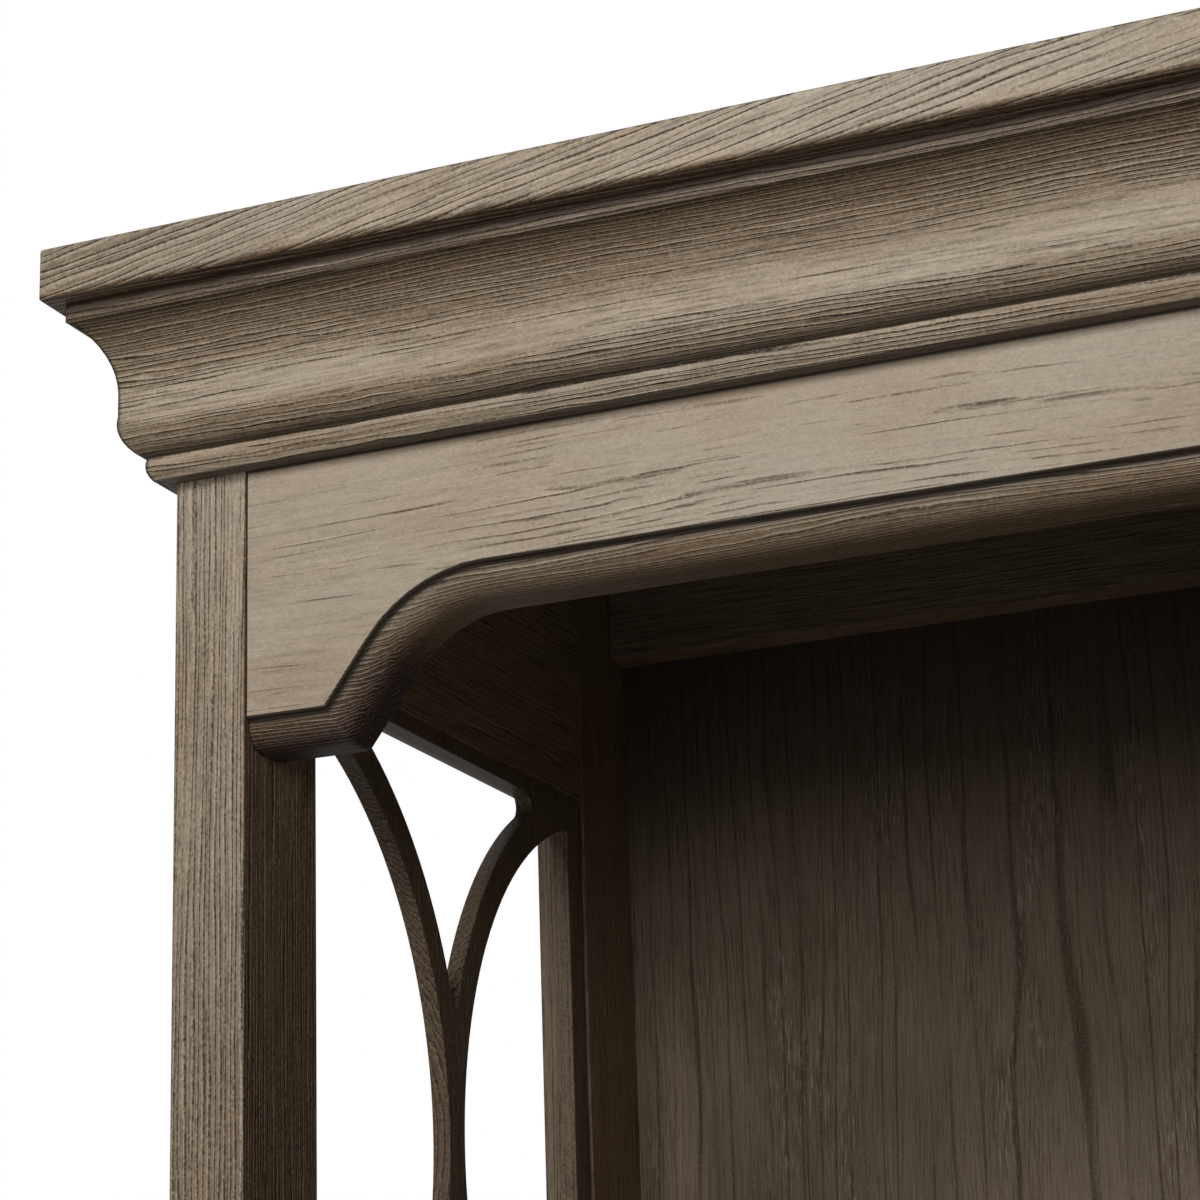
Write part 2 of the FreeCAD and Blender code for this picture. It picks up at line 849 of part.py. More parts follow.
def write_drawers():
    upper = upper_opening_foot()
    second = second_opening_foot()
    file_height = second - front_rail_height - face_foot
    pedestal = [("left_upper_drawer", left_opening(upper, small_opening_height), upper),
                ("left_middle_drawer", left_opening(second, small_opening_height), second),
                ("file_drawer", left_opening(face_foot, file_height), face_foot),
                ("right_upper_drawer", right_opening(upper, small_opening_height), upper)]
    for name, opening, foot in pedestal:
        write_drawer(name, opening, foot, box_length, [opening_middle(opening)])
    pencil = (-knee_half, knee_half, face_top - pencil_opening_height, face_top)
    z = opening_middle(pencil)[1]
    knobs = [(-pencil_knob_spacing / 2, z), (pencil_knob_spacing / 2, z)]
    write_drawer("pencil_drawer", pencil, pencil_box_foot(), pencil_box_length, knobs)


# Door at the lower right, hung on its outer stile

def door_bounds():
    top = upper_opening_foot() - front_rail_height
    return (knee_post_outside + reveal, case_post_inside - hinge_gap, face_foot + reveal, top - reveal)


def door_knob_place():
    x0, x1, z0, z1 = door_bounds()
    return x0 + door_stile_width / 2, z1 - door_knob_drop


def door_panel_box(edge):
    x0, x1, z0, z1 = door_bounds()
    y0 = case_front + door_panel_inset
    w = door_stile_width
    return block(x0 + w - edge, x1 - w + edge, y0, y0 + door_panel_thickness, z0 + w - edge, z1 - w + edge)


# Two stiles and two rails, cut from one moulded board so that their mouldings meet
def door_frame():
    x0, x1, z0, z1 = door_bounds()
    y0 = case_front
    y1 = case_front + front_thickness
    w = door_stile_width
    board = front_board(x0, x1, z0, z1).cut(block(x0 + w, x1 - w, y0, y1, z0 + w, z1 - w))

    def inner_arris(edge):
        low_x, high_x, low_y, high_y, low_z, high_z = bounds(edge)
        inside = low_x > x0 + w / 2 and high_x < x1 - w / 2 and low_z > z0 + w / 2 and high_z < z1 - w / 2
        return inside and near(low_y, y0) and near(high_y, y0)

    board = eased(board, door_sticking_radius, inner_arris)
    board = board.cut(door_panel_box(groove_depth)).cut(stud_hole(*door_knob_place()))
    stiles = [block(x0, x0 + w, y0, y1, z0, z1), block(x1 - w, x1, y0, y1, z0, z1)]
    rails = [block(x0 + w, x1 - w, y0, y1, z0, z0 + w), block(x0 + w, x1 - w, y0, y1, z1 - w, z1)]
    return [board.common(piece).Solids[0] for piece in stiles + rails]


def door_panel():
    return door_panel_box(groove_depth - panel_play)


def hinge_axis():
    return case_post_inside - hinge_gap / 2, case_front - knuckle_radius - knuckle_clearance


def hinge_levels():
    x0, x1, z0, z1 = door_bounds()
    return [z0 + hinge_end_distance, z1 - hinge_end_distance - hinge_length]


# A leaf in the gap beside the post or the door's stile, with a tab out to each of its knuckles
def hinge_leaf(leaf_x, foot, knuckle_spans):
    axis_x, axis_y = hinge_axis()
    leaf = block(leaf_x, leaf_x + leaf_thickness, case_front, case_front + leaf_depth,
                 foot, foot + hinge_length)
    for low, high in knuckle_spans:
        tab = block(leaf_x, leaf_x + leaf_thickness, axis_y, case_front, low, high)
        knuckle = rod(knuckle_radius, Vector(axis_x, axis_y, low), AXIS_Z, high - low)
        leaf = leaf.fuse(tab).fuse(knuckle)
    return leaf


def cabinet_leaf(foot):
    axis_x, axis_y = hinge_axis()
    top = foot + hinge_length
    spans = [(foot, foot + knuckle_length), (top - knuckle_length, top)]
    pin = rod(hinge_pin_radius, Vector(axis_x, axis_y, foot), AXIS_Z, hinge_length)
    return hinge_leaf(case_post_inside - leaf_thickness, foot, spans).fuse(pin).removeSplitter()


def door_leaf(foot):
    axis_x, axis_y = hinge_axis()
    top = foot + hinge_length
    span = (foot + knuckle_length + knuckle_play, top - knuckle_length - knuckle_play)
    bore = rod(hinge_pin_radius + hinge_pin_play, Vector(axis_x, axis_y, foot - overrun), AXIS_Z,
               hinge_length + 2 * overrun)
    leaf = hinge_leaf(case_post_inside - hinge_gap, foot, [span])
    return leaf.cut(bore).removeSplitter()


# Loose shelf behind the door, on four pins

def shelf_pin_rows():
    return [case_front + shelf_pin_inset, case_rear - shelf_pin_inset]


# Where each pin leaves the wood that holds it, and the way it points
def shelf_pin_places():
    front, rear = shelf_pin_rows()
    level = face_foot + loose_shelf_height - shelf_pin_radius
    return [(Vector(knee_post_outside, front, level), AXIS_X),
            (Vector(knee_side_outside, rear, level), AXIS_X),
            (Vector(case_post_inside, front, level), -AXIS_X),
            (Vector(case_inside, rear, level), -AXIS_X)]


def shelf_pins():
    return [rod(shelf_pin_radius, place - way * shelf_pin_depth, way, shelf_pin_length)
            for place, way in shelf_pin_places()]


def cut_pin_holes(solid):
    radius = shelf_pin_radius + shelf_pin_play
    for place, way in shelf_pin_places():
        solid = solid.cut(rod(radius, place - way * shelf_pin_depth, way, shelf_pin_depth + overrun))
    return solid


def loose_shelf():
    foot = face_foot + loose_shelf_height
    return block(knee_post_outside + loose_shelf_play, case_post_inside - loose_shelf_play,
                 case_post_rear - front_post_depth / 2, case_back_face - loose_shelf_play,
                 foot, foot + loose_shelf_thickness)


def write_all():
    os.makedirs("parts", exist_ok=True)
    write("cornice_cap", [cornice_cap()])
    write("crown_front", crown()[:1])
    write("crown_returns", crown()[1:])
    write("arched_apron", [arched_apron()])
    write_pair("hutch_front_post", [hutch_front_post()])
    write_pair("hutch_rear_post", [hutch_rear_post()])
    write_pair("hutch_end_rails", hutch_end_rails())
    write_pair("upper_fret", [fret_panel(upper_rail_top, end_top_rail_foot)])
    write_pair("lower_fret", [fret_panel(lower_rail_top, upper_rail_foot)])
    low_panel = framed_sheet(foot_rail_top, lower_rail_foot)
    write("hutch_low_panels", [low_panel, mirrored(low_panel)])
    write("hutch_back_panel", [hutch_back_panel()])
    write("hutch_back_rails", hutch_back_rails())
    write("hutch_partitions", [partition(), mirrored(partition())])
    write_pair("shelves", side_shelves())
    write("centre_shelf", [shelf(-partition_inside, partition_inside, upper_rail_foot, upper_rail_top)])
    write("joining_plates", [joining_plate(x) for x in plate_places()])
    write("joining_screws", [joining_screw(place) for place in screw_places()])
    write("base_top", [base_top()])
    write("left_pedestal_posts", pedestal_posts())
    write("right_pedestal_posts", [cut_pin_holes(mirrored(post)) for post in pedestal_posts()])
    write("base_end_rails", base_end_rails() + [mirrored(rail) for rail in base_end_rails()])
    write("base_end_panels", [base_end_panel(), mirrored(base_end_panel())])
    write("kneehole_sides", [kneehole_side(), cut_pin_holes(mirrored(kneehole_side()))])
    write("front_rails", front_rails())
    write("pedestal_bottoms", [pedestal_bottom(), mirrored(pedestal_bottom())])
    write("pedestal_backs", [pedestal_back(), mirrored(pedestal_back())])
    write("modesty_panel", [modesty_panel()])
    write_pair("plinth", plinth())
    write("glides", glides() + [mirrored(glide) for glide in glides()])
    write("drawer_runners", drawer_runners())
    write("stop_blocks", stop_blocks())
    write_drawers()
    write("door_frame", door_frame())
    write("door_panel", [door_panel()])
    write("door_knob", [knob(*door_knob_place())])
    write("cabinet_hinge_leaves", [cabinet_leaf(foot) for foot in hinge_levels()])
    write("door_hinge_leaves", [door_leaf(foot) for foot in hinge_levels()])
    write("loose_shelf", [loose_shelf()])
    write("shelf_pins", shelf_pins())


write_all()
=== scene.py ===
import json
import math
import random

import bmesh
import bpy
from bpy.props import FloatProperty, FloatVectorProperty, PointerProperty
from bpy.types import Operator, Panel, PropertyGroup
from mathutils import Matrix, Vector


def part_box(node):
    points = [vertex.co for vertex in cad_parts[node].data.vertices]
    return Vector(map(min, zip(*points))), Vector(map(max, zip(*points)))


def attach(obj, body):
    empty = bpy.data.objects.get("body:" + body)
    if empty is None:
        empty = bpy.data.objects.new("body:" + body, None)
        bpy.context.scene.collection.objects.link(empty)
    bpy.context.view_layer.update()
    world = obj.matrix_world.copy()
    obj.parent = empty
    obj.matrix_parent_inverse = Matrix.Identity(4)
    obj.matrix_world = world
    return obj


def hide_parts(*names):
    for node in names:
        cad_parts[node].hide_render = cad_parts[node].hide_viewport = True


bl_info = {
    "name": "Credenza with hutch",
    "version": (1, 0, 0),
    "blender": (4, 5, 0),
    "location": "3D View > Sidebar > Credenza",
    "description": "Dresses the credenza and its hutch in glazed, wire-brushed oak",
    "category": "Object",
}

# Metres, +Z up, the front towards -Y. The frame gives every size that comes from the CAD model.
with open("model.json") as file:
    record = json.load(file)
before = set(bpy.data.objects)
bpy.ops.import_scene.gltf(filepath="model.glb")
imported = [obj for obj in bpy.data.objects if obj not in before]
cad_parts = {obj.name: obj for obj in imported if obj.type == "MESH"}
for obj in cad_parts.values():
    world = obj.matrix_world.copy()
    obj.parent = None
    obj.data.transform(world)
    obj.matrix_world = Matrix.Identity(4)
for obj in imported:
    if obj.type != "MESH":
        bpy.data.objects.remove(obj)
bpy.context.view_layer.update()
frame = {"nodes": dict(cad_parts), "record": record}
body_of_node = {node: name for name, members in frame["record"]["behaviour"]["bodies"].items()
                for node in members}
slot_of_node = {part["node"]: part["material_slot"] for part in frame["record"]["subparts"]}

X, Y, Z = 0, 1, 2
millimetre = .001
white = (1.0, 1.0, 1.0)


# Settings

def colour(name, description, default):
    return FloatVectorProperty(name=name, description=description, default=default, size=3, min=0, max=1,
                               subtype="COLOR")


def length(name, description, default):
    return FloatProperty(name=name, description=description, default=default, min=0, precision=5,
                         subtype="DISTANCE", unit="LENGTH")


def position(name, description, default):
    return FloatVectorProperty(name=name, description=description, default=default, size=3, precision=5,
                               subtype="TRANSLATION", unit="LENGTH")


def angle(name, description, degrees):
    return FloatProperty(name=name, description=description, default=math.radians(degrees),
                         subtype="ANGLE", unit="ROTATION")


def amount(name, description, default, unit="NONE"):
    return FloatProperty(name=name, description=description, default=default, min=0, unit=unit)


class CredenzaWood(PropertyGroup):
    light_tone: colour("Light taupe", "Where the brushed wood is lightest", (.250, .215, .168))
    warm_tone: colour("Warm taupe", "Where the wood shows through the stain", (.240, .186, .132))
    dark_tone: colour("Dark taupe", "Where the stain lies thicker", (.135, .106, .074))
    grey_tone: colour("Grey taupe", "Lightest wood of the cap and the base's top", (.242, .212, .168))
    # Glaze: also the colour of the painted shade in the quirks and of the painted shadow at the tops of the back
    # panels
    glaze_and_shadow_tone: colour("Glaze", "Dark glaze left in grooves and pores", (.014, .0085, .0045))
    umber_tone: colour("Umber", "Thin glaze wiped into cracks and chips", (.048, .029, .0135))
    # Used both for the brown stain and for the painted shade in recesses and on undersides
    stain_and_shade_depth: colour("Stain", "Light that each coat of brown stain takes out of a recess", (.45, .53, .64))
    # Brown stain: a browner stain, with painted shade on the rear posts and back rails deep in the hutch
    brown_stain_and_shade: colour("Brown stain", "Share of light left on rear posts, back rails and frets", (.50, .44, .38))
    # Inside tone: on the front posts, frames and inner boards a browner tone with painted shade on the faces inside
    # the hutch; on the back rails it is lighter, painted light on the faces that look down; on the rear posts it is
    # lighter on the faces that look in
    inside_tone: colour("Inside", "Browner stain on the faces inside the hutch", (.195, .128, .072))
    panel_tone: colour("Back panel", "Stain of the glazed back panels", (.156, .116, .076))
    limed_tone: colour("Limed fleck", "Pale flecks in the back panel's pores", (.260, .225, .190))
    drawer_tone: colour("Drawer wood", "Clear finished wood of the drawer boxes", (.430, .330, .215))
    arris: length("Eased arris", "Width of the eased edge of posts, rails, shelves and boxes", .0008)
    cap_arris: length("Cap arris", "Width of the eased edge of the cornice cap", .0009)
    apron_arris: length("Apron arris", "Width of the eased edge of the arched apron", .0012)
    moulding_arris: length("Moulding arris", "Width on mouldings, fretwork and drawer fronts", .0005)
    panel_arris: length("Panel arris", "Width on back panels and the door", .0004)
    rib_relief: length("Rib relief", "Height of the brushed ribs", .00050)
    pore_depth: length("Pore depth", "Depth of the open pores", .00030)


class CredenzaMetal(PropertyGroup):
    bronze_tone: colour("Bronze", "Dark bronze of knobs and hinges", (.060, .045, .034))
    rub_tone: colour("Rubbed bronze", "Bronze where hands rub it", (.300, .190, .105))
    steel_tone: colour("Steel", "Zinc-plated plates, screws and pins", (.560, .560, .540))
    glide_tone: colour("Glide", "Moulded glides under the posts", (.028, .026, .025))


class CredenzaStudio(PropertyGroup):
    floor_tone: colour("Floor", "Plain pale floor", (.800, .790, .775))
    floor_reach: length("Floor reach", "Half the side of the square floor", 30.0)
    front: amount("Front surround", "Light that the surround gives from in front", .05)
    behind: amount("Rear surround", "Light that the surround gives from behind", .95)
    lamp_tone: colour("Lamps", "Colour of the soft lights", (1.0, .975, .935))
    lamp_width: length("Lamp width", "Width of the two soft lights at the front", .70)
    rear_width: length("Rear lamp width", "Width of the soft light behind", 1.40)
    key_power: amount("Key light", "Power of the soft light from the left", 41.5, "POWER")
    fill_power: amount("Fill light", "Power of the soft light in front", 21.0, "POWER")
    rear_power: amount("Rear light", "Power of the soft light behind", 100.0, "POWER")
    key_place: position("Key place", "Where the soft light from the left hangs", (-1.05, -1.79, 2.65))
    fill_place: position("Fill place", "Where the soft light in front hangs", (-.21, -2.16, 1.93))
    rear_place: position("Rear place", "Where the soft light behind hangs", (2.6, 2.4, 2.5))
    front_aim: position("Front aim", "What the two lights at the front point at", (-.4, 0.0, 1.55))
    rear_aim: position("Rear aim", "What the light behind points at", (.3, .2, .9))
    lens: amount("Lens", "Focal length on a 36 mm sensor", 91.815, "CAMERA")
    camera_place: position("Camera", "Where the camera stands", (-.28694, -.98100, 1.40236))
    yaw: angle("Yaw", "Turn of the camera to the left", 21.894)
    pitch: angle("Pitch", "Tilt of the camera upwards", 17.113)
    roll: angle("Roll", "Turn of the camera about its own line of sight", -1.824)


# Shader expressions

class Signal:
    """A socket of a finish. Arithmetic on it adds the nodes that work it out."""

    def __init__(self, finish, socket):
        self.finish = finish
        self.socket = socket

    def is_vector(self):
        return self.socket.type == "VECTOR"

    def worked(self, operation, *values):
        vector = any(isinstance(v, tuple) or isinstance(v, Signal) and v.is_vector() for v in values)
        kind = "VectorMath" if vector else "Math"
        sockets = {}
        for index, value in enumerate(values):
            plain = vector and not isinstance(value, (tuple, Signal))
            sockets[index] = (value, value, value) if plain else value
        return self.finish.node(kind, {"operation": operation}, sockets)

    def __add__(self, other):
        return self.worked("ADD", self, other)

    def __radd__(self, other):
        return self.worked("ADD", other, self)

    def __sub__(self, other):
        return self.worked("SUBTRACT", self, other)

    def __rsub__(self, other):
        return self.worked("SUBTRACT", other, self)

    def __mul__(self, other):
        return self.worked("MULTIPLY", self, other)

    def __rmul__(self, other):
        return self.worked("MULTIPLY", other, self)

    def __truediv__(self, other):
        return self.worked("DIVIDE", self, other)

    def __rtruediv__(self, other):
        return self.worked("DIVIDE", other, self)

    def __pow__(self, other):
        return self.worked("POWER", self, other)

    def __rpow__(self, other):
        return self.worked("POWER", other, self)

    def smaller(self, other):
        return self.worked("MINIMUM", self, other)

    def larger(self, other):
        return self.worked("MAXIMUM", self, other)

    def magnitude(self):
        return self.worked("ABSOLUTE", self)

    def cosine(self):
        return self.worked("COSINE", self)

    def folded(self, width):
        """Runs up to the width and back down again, over and over"""
        return self.worked("PINGPONG", self, width)

    def rise(self, low, high):
        """0 below low, 1 above high, smooth between; the other way round where low is above high"""
        settings = {"interpolation_type": "SMOOTHSTEP"}
        if low < high:
            return self.finish.node("MapRange", settings, {0: self, 1: low, 2: high})
        return 1 - self.finish.node("MapRange", settings, {0: self, 1: high, 2: low})

    def parts(self):
        """Its X, Y and Z"""
        first = self.finish.node("SeparateXYZ", {}, {0: self})
        return [Signal(self.finish, socket) for socket in first.socket.node.outputs]


class Finish:
    """The nodes of a material or of the world, written as expressions of signals"""

    def __init__(self, owner):
        owner.use_nodes = True
        self.owner = owner
        self.tree = owner.node_tree
        self.tree.nodes.clear()

    def node(self, kind, settings, sockets, output=0):
        """A node of any kind: its settings, then the numbers or links of its sockets"""
        made = self.tree.nodes.new("ShaderNode" + kind)
        for key, value in settings.items():
            if key == "stops":
                self.set_stops(made.color_ramp, value)
            else:
                setattr(made, key, value)
        for key, value in sockets.items():
            socket = made.inputs[key]
            if isinstance(value, Signal):
                self.tree.links.new(value.socket, socket)
            elif socket.type == "RGBA":
                socket.default_value = (*value, 1)
            else:
                socket.default_value = value
        return Signal(self, made.outputs[output]) if len(made.outputs) else None

    @staticmethod
    def set_stops(ramp, stops):
        while len(ramp.elements) < len(stops):
            ramp.elements.new(1.0)
        for element, (place, value) in zip(ramp.elements, stops):
            element.position = place
            element.color = (value, value, value, 1)

    def curve(self, place, *stops):
        """A number that follows place from stop to stop, each (place, value), both from 0 to 1"""
        return self.node("ValToRGB", {"stops": stops}, {0: place})

    def attribute(self, name):
        return self.node("Attribute", {"attribute_name": name}, {}, "Vector")

    def coordinate(self, output):
        """Object is a place in the piece's own metres, Normal the way its surface faces"""
        return self.node("TexCoord", {}, {}, output)

    def noise(self, place, detail=2.0, roughness=.5, output="Fac"):
        return self.node("TexNoise", {"noise_dimensions": "3D"},
                         {"Vector": place, "Scale": 1.0, "Detail": detail, "Roughness": roughness}, output)

    def mix(self, factor, a, b):
        """Colour a where factor is 0, colour b where it is 1"""
        return self.node("Mix", {"data_type": "RGBA", "clamp_factor": True}, {0: factor, 6: a, 7: b}, 2)

    def close(self, base, rough, height=None, constants=None):
        """Ends the material in its shader; height is in millimetres"""
        sockets = {"Base Color": base, "Roughness": rough}
        sockets.update(constants or {})
        if height is not None:
            sockets["Normal"] = self.node("Bump", {}, {"Strength": 1.0, "Distance": millimetre,
                                                       "Height": height})
        self.node("OutputMaterial", {}, {"Surface": self.node("BsdfPrincipled", {}, sockets)})
        return self.owner


def times(tone, share):
    return tuple(part * share for part in tone)


# Boards: eased copies of the CAD solids, each with its own place in the trunk that it was sawn from

coplanar_angle = math.radians(.15)  # faces that meet at less are joined
arris_angle = math.radians(32)  # arrises between faces that meet at more are eased
crease_angle = math.radians(60)  # arrises between faces that meet at more stay creased


def solids(mesh):
    """The closed solids of a CAD mesh, each as a list of its faces' corners"""
    found, faces, open_edges = [], [], set()
    spots = [tuple(round(value, 6) for value in vert.co) for vert in mesh.vertices]
    for face in mesh.polygons:
        corners = [spots[index] for index in face.vertices]
        faces.append(corners)
        for a, b in zip(corners, corners[1:] + corners[:1]):
            if a != b:
                open_edges ^= {frozenset((a, b))}
        if not open_edges:
            found.append(faces)
            faces = []
    if faces:
        raise ValueError(mesh.name + " has an open solid")
    return found


def solid_mesh(faces):
    """One solid with its corners joined and without triangles that have no area"""
    mesh = bmesh.new()
    verts = {}
    for corners in faces:
        for spot in corners:
            if spot not in verts:
                verts[spot] = mesh.verts.new(spot)
        if len(set(corners)) > 2:
            mesh.faces.new([verts[spot] for spot in corners])
    return mesh


def eased_solid(faces, width, tight, clamped):
    """One solid with its coplanar triangles joined and its sharp arrises eased, but for the tight ones"""
    mesh = solid_mesh(faces)
    mesh.normal_update()
    bmesh.ops.dissolve_limit(mesh, angle_limit=coplanar_angle, verts=mesh.verts, edges=mesh.edges)
    sharp = [edge for edge in mesh.edges
             if len(edge.link_faces) == 2 and edge.calc_face_angle() > arris_angle
             and not (tight and tight(edge))]
    bmesh.ops.bevel(mesh, geom=sharp, offset=width, offset_type="OFFSET", segments=2, profile=.5,
                    affect="EDGES", clamp_overlap=clamped)
    return mesh


def face_box(faces):
    points = [vert.co for face in faces for vert in face.verts]
    low = Vector([min(p[axis] for p in points) for axis in range(3)])
    high = Vector([max(p[axis] for p in points) for axis in range(3)])
    return low, high


def board_axes(low, high, grain):
    """Across, through and along the board, as axis numbers"""
    size = high - low
    along = max(range(3), key=lambda axis: size[axis]) if grain is None else grain
    through = min((axis for axis in range(3) if axis != along), key=lambda axis: size[axis])
    return 3 - along - through, through, along


class Sawing:
    """How the boards of one piece lie in the trunk, in metres and degrees

    The grain runs along one axis, or along each board where none is given. Each board tilts by up to the tilt,
    and the grain of the faces that lean_face picks by their normals leans by the lean.
    """

    flat_depth = .05, .11  # from the pith
    rift_depth = .30, .45
    rift_turn = 45  # between the rings of a rift board and its faces
    aside_share = .3  # of the board's width, or of the limit if that is less
    aside_limit = .3
    trunk_length = 40

    def __init__(self, grain=None, rift=False, tilt=1.2, lean=0.0, lean_face=None):
        self.grain = grain
        self.rift = rift
        self.tilt = tilt
        self.lean = lean
        self.lean_face = lean_face

    def lean_at(self, normal):
        return self.lean if self.lean_face and self.lean_face(normal) else 0.0

    def place(self, low, high, draw):
        """The map from a point of the board to its place in the trunk"""
        across, through, along = board_axes(low, high, self.grain)
        middle = (low + high) / 2
        depth = draw.uniform(*(self.rift_depth if self.rift else self.flat_depth))
        aside = draw.uniform(-self.aside_share, self.aside_share) * min(high[across] - low[across], self.aside_limit)
        shift = Vector((aside, depth, draw.uniform(0, self.trunk_length)))
        turn = Matrix.Rotation(math.radians(draw.uniform(-1, 1) * self.tilt), 3, "X")
        turn = turn @ Matrix.Rotation(math.radians(draw.uniform(-1, 1) * self.tilt), 3, "Y")
        if self.rift:
            spin = -self.rift_turn if middle[through] < 0 else self.rift_turn
            turn = turn @ Matrix.Rotation(math.radians(spin), 3, "Z")

        def mapped(point, lean):
            p = point - middle
            flat = Vector((p[across], p[through], p[along]))
            if lean:
                flat = Matrix.Rotation(math.radians(lean), 3, "X") @ flat
            return turn @ flat + shift

        return mapped


def write_places(mesh, sawing, draw):
    """Gives each corner its place in the trunk and its distances from both sides of the board's box"""
    layers = mesh.loops.layers.float_vector
    wood_layer, low_layer, high_layer = (layers.new(name) for name in ("wood", "from_low", "to_high"))
    low, high = face_box(mesh.faces)
    mapped = sawing.place(low, high, draw)
    for face in mesh.faces:
        face.smooth = True
        lean = sawing.lean_at(face.normal)
        for corner in face.loops:
            point = corner.vert.co
            corner[wood_layer] = mapped(point, lean)
            corner[low_layer] = point - low
            corner[high_layer] = high - point


def eased_board(name, finish, sawing, width, tight=None, clamped=False):
    """A copy of a CAD node with eased arrises and the places that its finish follows"""
    draw = random.Random(name)
    whole = bmesh.new()
    part = bpy.data.meshes.new("part")
    for faces in solids(frame["nodes"][name].data):
        mesh = eased_solid(faces, width, tight, clamped)
        write_places(mesh, sawing, draw)
        mesh.to_mesh(part)
        mesh.free()
        whole.from_mesh(part)
    data = bpy.data.meshes.new(name + "_eased")
    whole.to_mesh(data)
    whole.free()
    bpy.data.meshes.remove(part)
    data.set_sharp_from_angle(angle=crease_angle)
    data.materials.append(finish)
    piece = bpy.data.objects.new(name + "_eased", data)
    bpy.context.scene.collection.objects.link(piece)
    weigh = piece.modifiers.new("Face weights", "WEIGHTED_NORMAL")
    weigh.keep_sharp = True
    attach(piece, body_of_node[name])
    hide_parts(name)


# The oak finish. A place in the trunk has its first two numbers across the grain and its last along it.

class Oak:
    """How one kind of board is brushed, stained and glazed; widths, runs and the wander are in metres"""

    ring = .0020  # from one ring to the next
    line = .0005  # width of the groove in a ring
    flow = 1.6  # how many rings a ring is shifted by the slowest noise,
    ripple = .6  # by the quickest
    uneven = 2.2  # and by the longest
    wander = .006  # how far the grain bends
    grooves = 1.75  # more of it leaves fewer grooves
    inked = .75  # glaze in the grooves
    groove_depth = .7
    crest = .30  # ribs beside the grooves: their height, and a painted highlight on them
    cluster = .026  # width of a group of grooves
    cluster_run = .17
    strand = 1.0  # contrast of the fibres
    strand_width = .0013
    fine = .5  # fine cracks
    chips = .5  # wear on the arrises
    speckle = .5
    flecks = 0.0  # lime in the pores
    blotch = .30  # patches where the stain took more
    rough = .50
    leaf = None  # width of a leaf of veneer, where a panel has them
    inside = None  # faces that take the inside tone: painted shade on front posts, frames and inner boards, painted light under the back rails
    shade = None  # where the wood is darkened, partly by stain and partly by painted shade
    ink_and_shadow = None  # where glaze is left thick, with painted shade in quirks and painted shadow at the tops of the back panels

    def __init__(self, light, warm, dark, **changes):
        self.light, self.warm, self.dark = light, warm, dark
        for name, value in changes.items():
            setattr(self, name, value)

    def in_rings(self, size):
        return [self.ring * rings for rings in size]


# Width across the grain and run along it of what varies in the same way in every oak
drift_size = .07, .33
flow_size = .014, .15
mottle_size = .045, .13
patch_size = .0026, .0048
crack_size = .0006, .018
fleck_size = .0007, .0090
grit_size = .0010, .0014
strand_run = .030

# The same in rings, for what varies with the rings
depth_size = .9, 48
ripple_size = 2.5, 14
uneven_size = 3, 130

crest_lag = 1.3  # radians of a ring between its groove and its crest
pith_in_leaf = .3  # where the pith lies across a leaf of veneer, as a share of its width


def varied(finish, place, width, run, detail=2.0, roughness=.5, output="Fac"):
    """Noise that is that wide across the grain and runs that far along it"""
    return finish.noise(place * (1 / width, 1 / width, 1 / run), detail, roughness, output)


class Grain:
    """The rings, fibres, cracks and uneven stain of one oak, each as a signal from 0 to 1"""

    def __init__(self, finish, oak, shade):
        self.trunk = finish.attribute("wood")
        drift = varied(finish, self.trunk, *drift_size, output="Color") - (.5, .5, .5)
        bent = self.trunk + drift * (oak.wander * 2, oak.wander * 2, 0.0)
        self.cluster = varied(finish, self.trunk, oak.cluster, oak.cluster_run, 2.0, .55)
        self.grit = varied(finish, self.trunk, *grit_size, 2.0, .7)
        self.mottle = varied(finish, self.trunk, *mottle_size, 3.0, .6)
        self.patch = varied(finish, self.trunk, *patch_size, 3.0, .7)
        self.strands = varied(finish, bent, oak.strand_width, strand_run, 2.0, .65)
        crack = varied(finish, bent, *crack_size, 2.0, .6).rise(.52, .72)
        self.crack = crack * self.cluster.rise(.35, .65)
        phase = self.ring_phase(finish, oak, bent) * math.tau
        depth = varied(finish, bent, *oak.in_rings(depth_size), 2.0, .6)
        # Grooves come more often where the wood is darkened by stain and painted shade
        present = (depth * 2.2 + self.cluster * 1.6 + shade * .8 - oak.grooves).rise(0, .60)
        groove = phase.cosine().rise(math.cos(math.pi * oak.line / oak.ring), 1.0) * present
        self.groove = groove * (1.3 - self.grit * .6).smaller(1.0)
        self.crest = (phase + crest_lag).cosine().rise(.1, 1.0) * present

    def ring_phase(self, finish, oak, bent):
        """The number of rings between the pith and a place, with its fraction"""
        across, through, _ = bent.parts()
        if oak.leaf:
            across = across.folded(oak.leaf) - oak.leaf * pith_in_leaf
        radius = (across * across + through * through) ** .5
        flow = varied(finish, self.trunk, *flow_size, 1.0) - .5
        ripple = varied(finish, bent, *oak.in_rings(ripple_size), 1.0) - .5
        uneven = varied(finish, bent, *oak.in_rings(uneven_size), 1.0) - .5
        return radius / oak.ring + flow * oak.flow + ripple * oak.ripple + uneven * oak.uneven


def worn_arris(finish, patch):
    """1 where an arris is worn, in patches"""
    patch_reach, unworn, worn = .006, .0042, .0026
    low, high = finish.attribute("from_low").parts(), finish.attribute("to_high").parts()
    near_x, near_y, near_z = (low[axis].smaller(high[axis]) for axis in (X, Y, Z))
    # An arris is as near as the second nearest of the board's sides
    arris = near_x.smaller(near_y).larger(near_x.larger(near_y).smaller(near_z))
    return (arris + patch * patch_reach).rise(unworn, worn)


